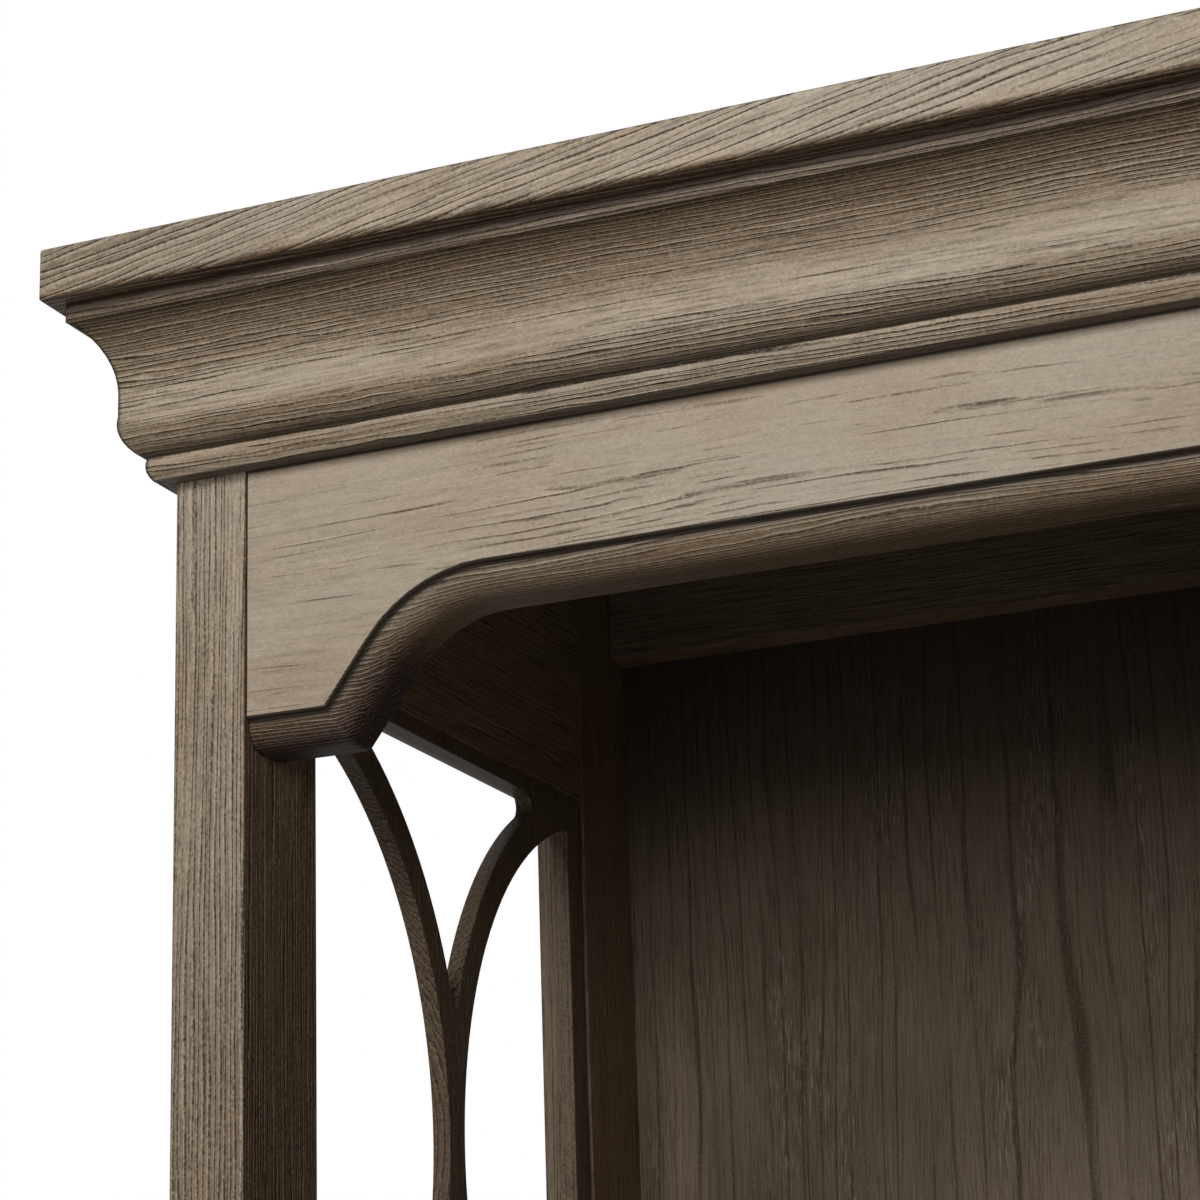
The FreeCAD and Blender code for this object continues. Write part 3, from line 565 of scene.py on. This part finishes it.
def stained(finish, oak, grain, settings):
    """The tone of the wood, its fibres and cracks, the patches where it took more stain, and the inside tone on the
    faces that its inside picks
    """
    umber = tuple(settings.umber_tone)
    tone, dark = finish.mix(grain.mottle.rise(.30, .70), oak.light, oak.warm), oak.dark
    # Inside tone: painted shade inside the hutch on front posts, frames and inner boards, painted light under the
    # back rails
    if oak.inside:
        inside, brown = oak.inside(finish), tuple(settings.inside_tone)
        tone = finish.mix(inside, tone, brown)
        dark = finish.mix(inside, dark, times(brown, .5))
    streak = (.5 - grain.strands) * (3.0 * oak.strand) + (.5 - grain.patch) * (2.0 * oak.speckle) + .35
    tone = finish.mix(streak, tone, dark)
    tone = finish.mix((.40 - grain.strands) * (3.0 * oak.strand), tone, umber)
    tone = finish.mix(grain.crack * oak.fine, tone, umber)
    return tone * (white - grain.mottle.rise(.48, .72) * oak.blotch * tuple(settings.stain_and_shade_depth))


def glazed(finish, oak, grain, shade, chip, tone, settings):
    """A stained tone with coats of stain and painted shade in its recesses, worn arrises, painted highlights on its
    crests, and glaze in its grooves
    """
    # The glaze tone also paints the shade in quirks and the shadow at the tops of the back panels
    glaze = tuple(settings.glaze_and_shadow_tone)
    # Painted highlight: the crests beside the grooves are lightened as if lit from above, in a browner tone where
    # the wood is darkened
    highlight_tone = times(oak.light, 1.5)
    if oak.shade:
        # Darkening where the shade signal is high: partly stain in hollows, partly painted shade
        coat = white - shade * (1.3 - grain.patch * .6) * tuple(settings.stain_and_shade_depth)
        tone = tone * coat * coat
        highlight_tone = finish.mix(shade, highlight_tone, times(oak.warm, .85))
    tone = finish.mix(chip, tone, tuple(settings.umber_tone))
    # Painted highlights on the crests, stronger where the wood is darkened, with random light specks in the same
    # tone
    crest_highlights = grain.crest * (shade * (2 - shade) * .34 + oak.crest)
    tone = finish.mix(crest_highlights + (grain.grit - .5) * (2.4 * oak.speckle), tone, highlight_tone)
    dark_speckle = (.45 - grain.grit) * ((shade * .7 + 1) * (2.6 * oak.speckle))
    tone = finish.mix(grain.groove * oak.inked + dark_speckle, tone, glaze)
    if oak.flecks:
        fleck = varied(finish, grain.trunk, *fleck_size, 1.0).rise(.59, .67) * grain.cluster.rise(.52, .62)
        tone = finish.mix(fleck * oak.flecks, tone, tuple(settings.limed_tone))
    # Thick glaze in quirks and joints, with painted shade in the quirks and painted shadow at the tops of the back
    # panels
    if oak.ink_and_shadow:
        tone = finish.mix(oak.ink_and_shadow(finish), tone, glaze)
    return tone


def oak_finish(name, oak, settings):
    finish = Finish(bpy.data.materials.new(name))
    shade = oak.shade(finish) if oak.shade else 0.0
    grain = Grain(finish, oak, shade)
    chip = worn_arris(finish, grain.patch) * oak.chips
    tone = glazed(finish, oak, grain, shade, chip, stained(finish, oak, grain, settings), settings)
    ribs = grain.strands * .8 * oak.strand + grain.crest * .5 * oak.crest - grain.groove * oak.groove_depth
    pits = grain.crack * oak.fine + chip
    rib_height = settings.rib_relief / millimetre
    pit_depth = settings.pore_depth / millimetre * .5
    height = ribs * rib_height - pits * pit_depth + grain.grit * .07
    rough = grain.groove * .25 + (grain.strands - .5) * .25 + oak.rough
    return finish.close(tone, rough, height, {"Specular IOR Level": .22})


# Where an oak has the inside tone, coats of stain and painted shade, or thick glaze and painted shadow, each as a
# signal from 0 to 1

def from_low(finish, axis):
    """Metres from the board's left, front or lower side"""
    return finish.attribute("from_low").parts()[axis]


def to_high(finish, axis):
    """Metres to the board's right, rear or upper side"""
    return finish.attribute("to_high").parts()[axis]


def facing(finish, axis):
    """How much the surface faces right, back or up, from -1 to 1"""
    return finish.coordinate("Normal").parts()[axis]


def near_end(finish):
    """Metres to the nearer end of a board that runs from left to right"""
    return from_low(finish, X).smaller(to_high(finish, X))


def crown_height(finish):
    """Height on the crown moulding, 0 at its foot and 1 at its top"""
    low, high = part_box("crown_front")
    return (finish.coordinate("Object").parts()[Z] - low.z) / (high.z - low.z)


def crown_shade(finish):
    """Darkening of the crown moulding from the bead at its foot to the fillet at its top: stain in its hollows, and
    painted shade under the cap's overhang and on the faces that turn down
    """
    return finish.curve(crown_height(finish), (0, .15), (.06, .48), (.118, .05), (.128, .6), (.15, .75),
                        (.193, .42), (.251, .42), (.32, .02), (.42, 0), (.487, .10), (.555, .34), (.622, .50),
                        (.687, .58), (.748, .71), (.803, .90), (.855, .98), (.882, .88), (.890, 1), (.905, .9),
                        (.92, .70), (.943, .95), (1, 1))


def crown_ink_and_shade(finish):
    """Thick glaze with painted shade in the quirk over the bead, and glaze in the joint under the cap and along the
    mitres
    """
    low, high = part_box("crown_front")
    x, y, _ = finish.coordinate("Object").parts()
    mitre = (x.magnitude() + y - (high.x + low.y)).magnitude().rise(.0016, .0004) * .8
    line = finish.curve(crown_height(finish), (0, .5), (.012, 0), (.124, 0), (.130, .80), (.140, .65),
                        (.155, .30), (.18, 0), (.884, 0), (.892, .50), (.905, .45), (.92, .25), (.932, .30),
                        (.943, .80), (.98, .60), (.992, .9))
    return line.larger(mitre)


def field_depth(finish):
    """Depth behind the front of a raised field, 1 at 25 mm"""
    return from_low(finish, Y) / (25 * millimetre)


def field_shade(finish):
    """Darkens the rounded edge below a raised field, more on its ears"""
    edge = finish.curve(field_depth(finish), (0, 0), (.003, .4), (.12, .78), (.25, .88), (.50, .96), (1, 1))
    ears = from_low(finish, Z).rise(.040, .022)
    return edge * (ears * .9 + 1)


def field_ink_and_shade(finish):
    """The dark line round a raised field, glaze with painted shade in its quirk, and the joints at its ends and
    under the crown
    """
    line = finish.curve(field_depth(finish), (0, 0), (.003, .75), (.008, .97), (.080, .95), (.0825, .35),
                        (.086, 0))
    ends = near_end(finish).rise(.0012, .0004) * .9
    crown_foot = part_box("crown_front")[0].z
    under_crown = finish.coordinate("Object").parts()[Z].rise(crown_foot - .0018, crown_foot - .0006) * .95
    return line.larger(ends).larger(under_crown)


def looks_in(finish):
    """1 on the faces that look in towards the middle"""
    return (finish.coordinate("Object").parts()[X] * facing(finish, X)).rise(-.25, -.45)


def looks_down(finish):
    """1 on the faces that look down"""
    return facing(finish, Z).rise(-.5, -.8)


def behind_front(finish):
    """1 on inside boards, but for their front edges"""
    return facing(finish, Y).rise(-.8, -.5)


def under_shade(finish):
    """Painted shade on the faces that look down"""
    return looks_down(finish) * .8


def post_shade(finish):
    """The post is darker towards its foot"""
    return to_high(finish, Z).rise(.05, .35) * .42


def fret_shade(finish):
    """Fretwork is darker on its sawn edges than on its faces, with painted shade on the faces that look down"""
    edges = facing(finish, X).magnitude().rise(.8, .5) * .25
    return edges.larger(facing(finish, Z).rise(-.4, -.8) * .9)


def cap_shade(finish):
    """The cap is darker towards its ends and along its lower arris, with painted shade on the faces that look down
    under it
    """
    ends = near_end(finish).rise(.16, 0.0) * .45 * facing(finish, Z).rise(.8, .5)
    low_arris = from_low(finish, Z).rise(.0028, .0012) * .95
    return ends.larger(low_arris).larger(looks_down(finish) * .85)


def panel_top_shadow(finish):
    """Painted shadow at the tops of the back panels' front faces, under the apron and cap"""
    return to_high(finish, Z).rise(.17, .03) * facing(finish, Y).rise(.2, -.2) * .8


def oak_recipes(settings):
    """The oak of each kind of board"""
    tones = [tuple(tone) for tone in (settings.light_tone, settings.warm_tone, settings.dark_tone)]
    greyer = [tuple(settings.grey_tone), *tones[1:]]
    duller = [times(tone, .9) for tone in tones]
    # Darker, browner tones: a browner stain, with painted shade on the rear posts and back rails deep in the hutch
    browner = [tuple(part * share for part, share in zip(tone, settings.brown_stain_and_shade)) for tone in tones]
    panel = [times(settings.panel_tone, share) for share in (1, .9, .55)]
    drawer = [times(settings.drawer_tone, share) for share in (1, .92, .8)]
    return {
        "Cap oak": Oak(*greyer, ring=.0025, line=.0006, ripple=1.1, grooves=1.5, inked=.85, groove_depth=1.0,
                       chips=.9, speckle=.6, shade=cap_shade),
        "Top oak": Oak(*greyer, ring=.0025, line=.0006, ripple=1.1, grooves=1.6),
        "Cornice oak": Oak(*tones, ring=.0015, line=.00055, ripple=.85, grooves=1.76, inked=1.0, crest=.35,
                           chips=0.0, shade=crown_shade, ink_and_shadow=crown_ink_and_shade),
        "Field oak": Oak(*tones, ring=.0013, line=.00045, grooves=1.89, groove_depth=.6, cluster=.009,
                         cluster_run=.20, strand=.35, strand_width=.002, fine=.15, chips=0.0, speckle=.35,
                         shade=field_shade, ink_and_shadow=field_ink_and_shade),
        "Post oak": Oak(*duller, ring=.0014, flow=1.0, ripple=.35, wander=.003, grooves=1.45, inked=.78,
                        speckle=.7, inside=looks_in, shade=post_shade),
        "Frame oak": Oak(*duller, ring=.0015, ripple=.4, wander=.003, grooves=1.5, inked=.6, inside=looks_in,
                         shade=under_shade),
        "Inner oak": Oak(*duller, ring=.0018, ripple=.5, inside=behind_front),
        "Rear post oak": Oak(*browner, ring=.0014, flow=1.0, ripple=.35, wander=.003, grooves=1.7, inked=.5,
                             inside=looks_in),
        # Faces that look down take the lighter inside tone: painted light under the back rails
        "Rail oak": Oak(*browner, ring=.0014, ripple=.35, wander=.003, grooves=1.6, inked=.6, strand=1.3,
                        inside=looks_down),
        "Fret oak": Oak(*browner, ring=.0016, ripple=.4, chips=0.0, speckle=.9, shade=fret_shade),
        "Panel oak": Oak(*panel, ring=.0068, line=.0013, flow=1.0, ripple=.3, uneven=1.2, wander=.010,
                         grooves=1.4, inked=.50, groove_depth=.1, crest=0.0, strand=.9, strand_width=.0010,
                         fine=.9, chips=0.0, speckle=.4, flecks=.6, leaf=.16, ink_and_shadow=panel_top_shadow),
        "Drawer wood": Oak(*drawer, ring=.0050, grooves=2.2, inked=.1, groove_depth=.1, crest=.05, strand=.2,
                           fine=.2, chips=0.0, speckle=.15, rough=.38),
    }


# The pieces

def make_boards(context, names, recipe, sawing, arris="arris", tight=None, clamped=False):
    """Boards of one oak; arris names the setting that holds the width of their eased edges"""
    settings = context.scene.credenza_wood
    finish = bpy.data.materials.get(recipe) or oak_finish(recipe, oak_recipes(settings)[recipe], settings)
    for name in names:
        eased_board(name, finish, sawing, getattr(settings, arris), tight, clamped)
    return {"FINISHED"}


def pair(name):
    return ["left_" + name, "right_" + name]


def nodes_ending(ending):
    return [node for node in frame["nodes"] if node.endswith(ending)]


def on_mitre(name):
    """Tells the edges in the mitre joints at the ends of a front moulding, which stay tight"""
    low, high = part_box(name)
    touching = .1 * millimetre

    def off_mitre(vert):
        return abs(abs(vert.co.x) + vert.co.y - (high.x + low.y))

    return lambda edge: all(off_mitre(vert) < touching for vert in edge.verts)


class CREDENZA_OT_cap(Operator):
    """Cuts the cornice cap, whose front and ends show slanting grain"""
    bl_idname = "credenza.cap"
    bl_label = "Cornice cap"

    def execute(self, context):
        sawing = Sawing(X, lean=11.0, lean_face=lambda normal: normal.y < -.5 or abs(normal.x) > .5)
        return make_boards(context, ["cornice_cap"], "Cap oak", sawing, "cap_arris")


class CREDENZA_OT_crown(Operator):
    """Runs the crown moulding along the front and its two returns"""
    bl_idname = "credenza.crown"
    bl_label = "Crown moulding"

    def execute(self, context):
        return make_boards(context, ["crown_front", "crown_returns"], "Cornice oak", Sawing(rift=True, tilt=.5),
                           "moulding_arris", on_mitre("crown_front"))


class CREDENZA_OT_apron(Operator):
    """Shapes the deep front apron with its ears and thumbnail edge"""
    bl_idname = "credenza.apron"
    bl_label = "Arched apron"

    def execute(self, context):
        return make_boards(context, ["arched_apron"], "Field oak", Sawing(X), "apron_arris")


class CREDENZA_OT_posts(Operator):
    """Cuts the upright posts of the hutch and the base"""
    bl_idname = "credenza.posts"
    bl_label = "Posts"

    def execute(self, context):
        sawing = Sawing(Z, rift=True, tilt=.5)
        make_boards(context, pair("hutch_rear_post"), "Rear post oak", sawing)
        return make_boards(context, pair("hutch_front_post") + pair("pedestal_posts"), "Post oak", sawing)


class CREDENZA_OT_rails(Operator):
    """Cuts the rails and end panels of the hutch and the base"""
    bl_idname = "credenza.rails"
    bl_label = "Rails and end panels"

    def execute(self, context):
        panels = ["hutch_low_panels", "base_end_panels", "kneehole_sides"]
        make_boards(context, pair("hutch_end_rails") + ["base_end_rails"], "Frame oak", Sawing(Y, rift=True))
        make_boards(context, ["front_rails"], "Frame oak", Sawing(X, rift=True))
        return make_boards(context, panels, "Frame oak", Sawing(Z))


class CREDENZA_OT_frets(Operator):
    """Saws the fretwork lights in the hutch's ends"""
    bl_idname = "credenza.frets"
    bl_label = "Fretwork"

    def execute(self, context):
        return make_boards(context, pair("upper_fret") + pair("lower_fret"), "Fret oak", Sawing(Z, rift=True),
                           "moulding_arris")


class CREDENZA_OT_backs(Operator):
    """Fits the dark glazed back panels and the hutch's back rails"""
    bl_idname = "credenza.backs"
    bl_label = "Back panels"

    def execute(self, context):
        panels = ["hutch_back_panel", "pedestal_backs", "modesty_panel"]
        make_boards(context, ["hutch_back_rails"], "Rail oak", Sawing(X, rift=True))
        return make_boards(context, panels, "Panel oak", Sawing(Z), "panel_arris")


class CREDENZA_OT_shelves(Operator):
    """Fits the partitions, shelves and pedestal bottoms"""
    bl_idname = "credenza.shelves"
    bl_label = "Partitions and shelves"

    def execute(self, context):
        shelves = pair("shelves") + ["centre_shelf", "pedestal_bottoms", "loose_shelf"]
        make_boards(context, ["hutch_partitions"], "Inner oak", Sawing(Z))
        return make_boards(context, shelves, "Inner oak", Sawing(X))


class CREDENZA_OT_top(Operator):
    """Cuts the base's moulded top"""
    bl_idname = "credenza.top"
    bl_label = "Base top"

    def execute(self, context):
        return make_boards(context, ["base_top"], "Top oak", Sawing(X))


class CREDENZA_OT_plinths(Operator):
    """Runs the mitred plinth round each pedestal"""
    bl_idname = "credenza.plinths"
    bl_label = "Plinths"

    def execute(self, context):
        return make_boards(context, pair("plinth"), "Frame oak", Sawing(rift=True), clamped=True)


class CREDENZA_OT_drawers(Operator):
    """Makes the drawers' moulded fronts, their boxes, runners and stops"""
    bl_idname = "credenza.drawers"
    bl_label = "Drawers"

    def execute(self, context):
        boxes = nodes_ending("drawer_box") + ["drawer_runners", "stop_blocks"]
        make_boards(context, nodes_ending("drawer_front"), "Field oak", Sawing(X), "moulding_arris")
        return make_boards(context, boxes, "Drawer wood", Sawing())


class CREDENZA_OT_door(Operator):
    """Makes the framed door and its panel"""
    bl_idname = "credenza.door"
    bl_label = "Door"

    def execute(self, context):
        make_boards(context, ["door_frame"], "Field oak", Sawing(), "panel_arris", clamped=True)
        return make_boards(context, ["door_panel"], "Field oak", Sawing(Z), "panel_arris")


class CREDENZA_OT_hardware(Operator):
    """Finishes knobs, hinges, plates, screws, pins and glides"""
    bl_idname = "credenza.hardware"
    bl_label = "Hardware"

    def execute(self, context):
        metal = context.scene.credenza_metal
        finishes = {"dark_metal": bronze_finish(tuple(metal.bronze_tone), tuple(metal.rub_tone)),
                    "steel": steel_finish(tuple(metal.steel_tone)),
                    "glide_plastic": glide_finish(tuple(metal.glide_tone))}
        for node, piece in frame["nodes"].items():
            if slot_of_node[node] in finishes:
                piece.data.materials.clear()
                piece.data.materials.append(finishes[slot_of_node[node]])
        return {"FINISHED"}


def bronze_finish(bronze, rubbed):
    finish = Finish(bpy.data.materials.new("Dark bronze"))
    place = finish.coordinate("Object")
    grit = finish.noise(place * 900.0, 3.0, .6)
    cloud = finish.noise(place * 120.0, 3.0, .6)
    tone = finish.mix(cloud.rise(.45, .75) * .5, bronze, rubbed)
    return finish.close(tone, cloud * .25 + .28, grit * .03, {"Metallic": 1.0})


def steel_finish(steel):
    finish = Finish(bpy.data.materials.new("Plated steel"))
    place = finish.coordinate("Object")
    brushed = finish.noise(place * (3000.0, 60.0, 60.0))
    cloud = finish.noise(place * 90.0, 3.0, .6)
    tone = finish.mix(cloud, steel, times(steel, .7))
    return finish.close(tone, brushed * .2 + .25, brushed * .01, {"Metallic": 1.0})


def glide_finish(plastic):
    finish = Finish(bpy.data.materials.new("Moulded plastic"))
    grit = finish.noise(finish.coordinate("Object") * 1500.0, 3.0, .6)
    return finish.close(finish.mix(grit, plastic, times(plastic, 1.6)), grit * .15 + .5, grit * .02)


# The stage

class CREDENZA_OT_stage(Operator):
    """Sets the floor, the soft light and the camera"""
    bl_idname = "credenza.stage"
    bl_label = "Stage"

    def execute(self, context):
        studio = context.scene.credenza_studio
        place_camera(context, studio)
        lay_floor(context, studio)
        light_studio(context, studio)
        return {"FINISHED"}


def place_camera(context, studio):
    data = bpy.data.cameras.new("Camera")
    data.sensor_width = 36.0
    data.sensor_fit = "HORIZONTAL"
    data.lens = studio.lens
    data.clip_start = .05
    data.clip_end = 100
    camera = bpy.data.objects.new("Camera", data)
    level = math.pi / 2
    camera.matrix_world = (Matrix.Translation(studio.camera_place)
                           @ Matrix.Rotation(studio.yaw, 4, "Z")
                           @ Matrix.Rotation(level + studio.pitch, 4, "X")
                           @ Matrix.Rotation(studio.roll, 4, "Z"))
    context.scene.collection.objects.link(camera)
    context.scene.camera = camera


def lay_floor(context, studio):
    mesh = bmesh.new()
    bmesh.ops.create_grid(mesh, x_segments=1, y_segments=1, size=studio.floor_reach)
    data = bpy.data.meshes.new("floor")
    mesh.to_mesh(data)
    mesh.free()
    finish = Finish(bpy.data.materials.new("Pale floor"))
    cloud = finish.noise(finish.coordinate("Object") * 3.0, 3.0)
    tone = tuple(studio.floor_tone)
    data.materials.append(finish.close(finish.mix(cloud * .3, tone, times(tone, .95)), .7))
    floor = bpy.data.objects.new("floor", data)
    context.scene.collection.objects.link(floor)


def white_surround(studio):
    """White to the camera; on the object, a light that grows from the front round to the back"""
    world = bpy.data.worlds.new("White surround")
    finish = Finish(world)
    grows, full = -.1, .5
    way = finish.coordinate("Generated").parts()[Y]
    glow = finish.node("MapRange", {}, {0: way, 1: grows, 2: full, 3: studio.front, 4: studio.behind})
    seen = finish.node("LightPath", {}, {}, "Is Camera Ray")
    strength = finish.node("Mix", {}, {0: seen, 2: glow, 3: 1.0})
    shader = finish.node("Background", {}, {"Color": white, "Strength": strength})
    finish.node("OutputWorld", {}, {"Surface": shader})
    return world


def light_studio(context, studio):
    context.scene.world = white_surround(studio)
    context.scene.view_settings.view_transform = "Standard"
    for name, power, width, place, aim in (
            ("Key", studio.key_power, studio.lamp_width, studio.key_place, studio.front_aim),
            ("Fill", studio.fill_power, studio.lamp_width, studio.fill_place, studio.front_aim),
            ("Rear", studio.rear_power, studio.rear_width, studio.rear_place, studio.rear_aim)):
        data = bpy.data.lights.new(name, "AREA")
        data.shape = "SQUARE"
        data.size = width
        data.energy = power
        data.color = studio.lamp_tone
        lamp = bpy.data.objects.new(name, data)
        lamp.location = place
        lamp.rotation_euler = (Vector(aim) - Vector(place)).to_track_quat("-Z", "Y").to_euler()
        context.scene.collection.objects.link(lamp)


# The add-on

operators = (CREDENZA_OT_stage, CREDENZA_OT_cap, CREDENZA_OT_crown, CREDENZA_OT_apron, CREDENZA_OT_posts,
             CREDENZA_OT_rails, CREDENZA_OT_frets, CREDENZA_OT_backs, CREDENZA_OT_shelves, CREDENZA_OT_top,
             CREDENZA_OT_plinths, CREDENZA_OT_drawers, CREDENZA_OT_door, CREDENZA_OT_hardware)


class CREDENZA_PT_pieces(Panel):
    """Lists the pieces of the credenza and their settings"""
    bl_label = "Credenza with hutch"
    bl_idname = "CREDENZA_PT_pieces"
    bl_space_type = "VIEW_3D"
    bl_region_type = "UI"
    bl_category = "Credenza"

    def draw(self, context):
        layout = self.layout
        for group in groups:
            settings = getattr(context.scene, group)
            box = layout.box()
            for name in settings.__annotations__:
                box.prop(settings, name)
        for operator in operators:
            layout.operator(operator.bl_idname)


groups = {"credenza_wood": CredenzaWood, "credenza_metal": CredenzaMetal, "credenza_studio": CredenzaStudio}
classes = (*groups.values(), *operators, CREDENZA_PT_pieces)


def register():
    for cls in classes:
        bpy.utils.register_class(cls)
    for name, group in groups.items():
        setattr(bpy.types.Scene, name, PointerProperty(type=group))


def unregister():
    for name in groups:
        delattr(bpy.types.Scene, name)
    for cls in reversed(classes):
        bpy.utils.unregister_class(cls)


def main():
    register()
    for operator in operators:
        family, name = operator.bl_idname.split(".")
        getattr(getattr(bpy.ops, family), name)()


if __name__ == "__main__":
    main()
